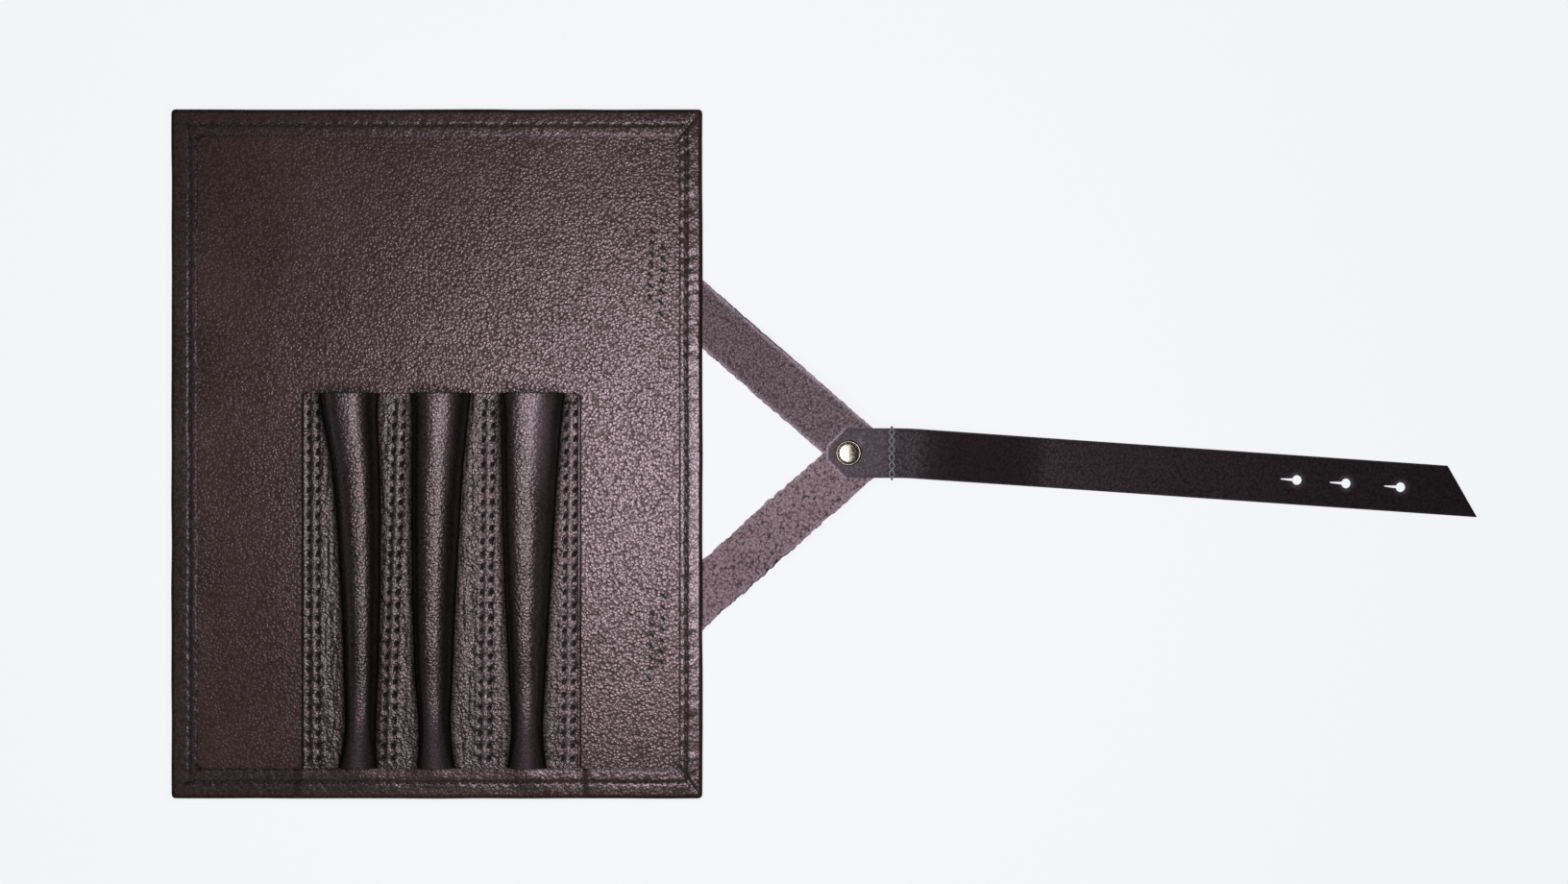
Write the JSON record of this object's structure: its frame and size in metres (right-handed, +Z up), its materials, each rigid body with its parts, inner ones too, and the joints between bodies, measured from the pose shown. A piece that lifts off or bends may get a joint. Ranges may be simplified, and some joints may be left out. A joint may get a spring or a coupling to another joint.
{
  "type": "roll-up pen case",
  "caption": "Leather roll-up pen case: a hemmed flat panel with moulded pen tunnels sewn on, and a forked strap with a stud and buttoning holes to tie it shut.",
  "frame": {"origin": "middle of the panel's back face", "axes": "+X across the panel towards the strap's tip, +Y along the pen tunnels towards their mouths, +Z up out of the pocket face"},
  "size_m": [0.4077, 0.2154, 0.0193],
  "materials": {
    "cover_leather": "satin, fine grain",
    "lining_leather": "satin, fine pebbled grain",
    "pocket_leather": "smooth satin, wet moulded",
    "stiffener_board": "matte bonded leather board",
    "strap_leather": "smooth satin",
    "arm_leather": "matte flesh side, slightly fibrous",
    "thread": "waxed thread",
    "strap_thread": "waxed thread, grey",
    "stud_brass": "polished"
  },
  "bodies": {
    "pocket_middle": {"cover_pocket_middle": "cover_leather", "stiffener_pocket_middle": "stiffener_board", "lining_pocket_middle": "lining_leather", "hem_stitches_pocket_middle": "thread", "pen_pocket_middle": "pocket_leather", "seam_stitches_inner_left_b": "thread", "seam_stitches_inner_right_a": "thread"},
    "pocket_left": {"cover_pocket_left": "cover_leather", "stiffener_pocket_left": "stiffener_board", "lining_pocket_left": "lining_leather", "hem_stitches_pocket_left": "thread", "pen_pocket_left": "pocket_leather", "seam_stitches_outer_left": "thread", "seam_stitches_inner_left_a": "thread"},
    "left_flap": {"cover_left_flap": "cover_leather", "stiffener_left_flap": "stiffener_board", "lining_left_flap": "lining_leather", "hem_stitches_left_flap": "thread"},
    "pocket_right": {"cover_pocket_right": "cover_leather", "stiffener_pocket_right": "stiffener_board", "lining_pocket_right": "lining_leather", "hem_stitches_pocket_right": "thread", "pen_pocket_right": "pocket_leather", "seam_stitches_inner_right_b": "thread", "seam_stitches_outer_right": "thread"},
    "right_flap": {"cover_right_flap": "cover_leather", "stiffener_right_flap": "stiffener_board", "lining_right_flap": "lining_leather", "hem_stitches_right_flap": "thread", "upper_arm_tail": "arm_leather", "lower_arm_tail": "arm_leather", "upper_arm_stitches": "thread", "lower_arm_stitches": "thread"},
    "arms": {"upper_arm": "arm_leather", "lower_arm": "arm_leather", "strap_head": "strap_leather", "strap_cross_stitches": "strap_thread", "stud_cap_screw": "stud_brass", "stud_knob": "stud_brass"},
    "strap_middle": {"strap_middle": "strap_leather"},
    "strap_end": {"strap_end": "strap_leather"}
  },
  "joints": [
    {"name": "pocket_roll", "type": "hinge", "parent": "pocket_middle", "child": "pocket_right", "pos_m": [0.01604, 0, 0.0044], "axis": [-0.0125, -0.9999, 0], "range_deg": [0, 60]},
    {"name": "left_land_fold", "type": "hinge", "parent": "pocket_middle", "child": "pocket_left", "pos_m": [-0.01224, 0, 0.0044], "axis": [0.0305, 0.9995, 0], "range_deg": [0, 60]},
    {"name": "left_flap_fold", "type": "hinge", "parent": "pocket_left", "child": "left_flap", "pos_m": [-0.0437, 0, 0.0044], "axis": [0, 1, 0], "range_deg": [0, 117]},
    {"name": "right_flap_fold", "type": "hinge", "parent": "pocket_right", "child": "right_flap", "pos_m": [0.0467, 0, 0.0044], "axis": [0, -1, 0], "range_deg": [0, 84]},
    {"name": "arms_fold", "type": "hinge", "parent": "right_flap", "child": "arms", "pos_m": [0.0833, 0.0003, 0], "axis": [0, -1, 0], "range_deg": [0, 45]},
    {"name": "strap_bend", "type": "hinge", "parent": "arms", "child": "strap_middle", "pos_m": [0.1465, 0.0003, 0.0098], "axis": [0, -1, 0], "range_deg": [0, 90]},
    {"name": "strap_wrap", "type": "hinge", "parent": "strap_middle", "child": "strap_end", "pos_m": [0.20486, -0.00373, 0.0002], "axis": [-0.0689, -0.9976, 0], "range_deg": [0, 80]}
  ],
  "couplings": [
    {"joint": "left_land_fold", "follows": "pocket_roll", "ratio": 1},
    {"joint": "left_flap_fold", "follows": "pocket_roll", "ratio": 1.95},
    {"joint": "right_flap_fold", "follows": "pocket_roll", "ratio": 1.4}
  ]
}
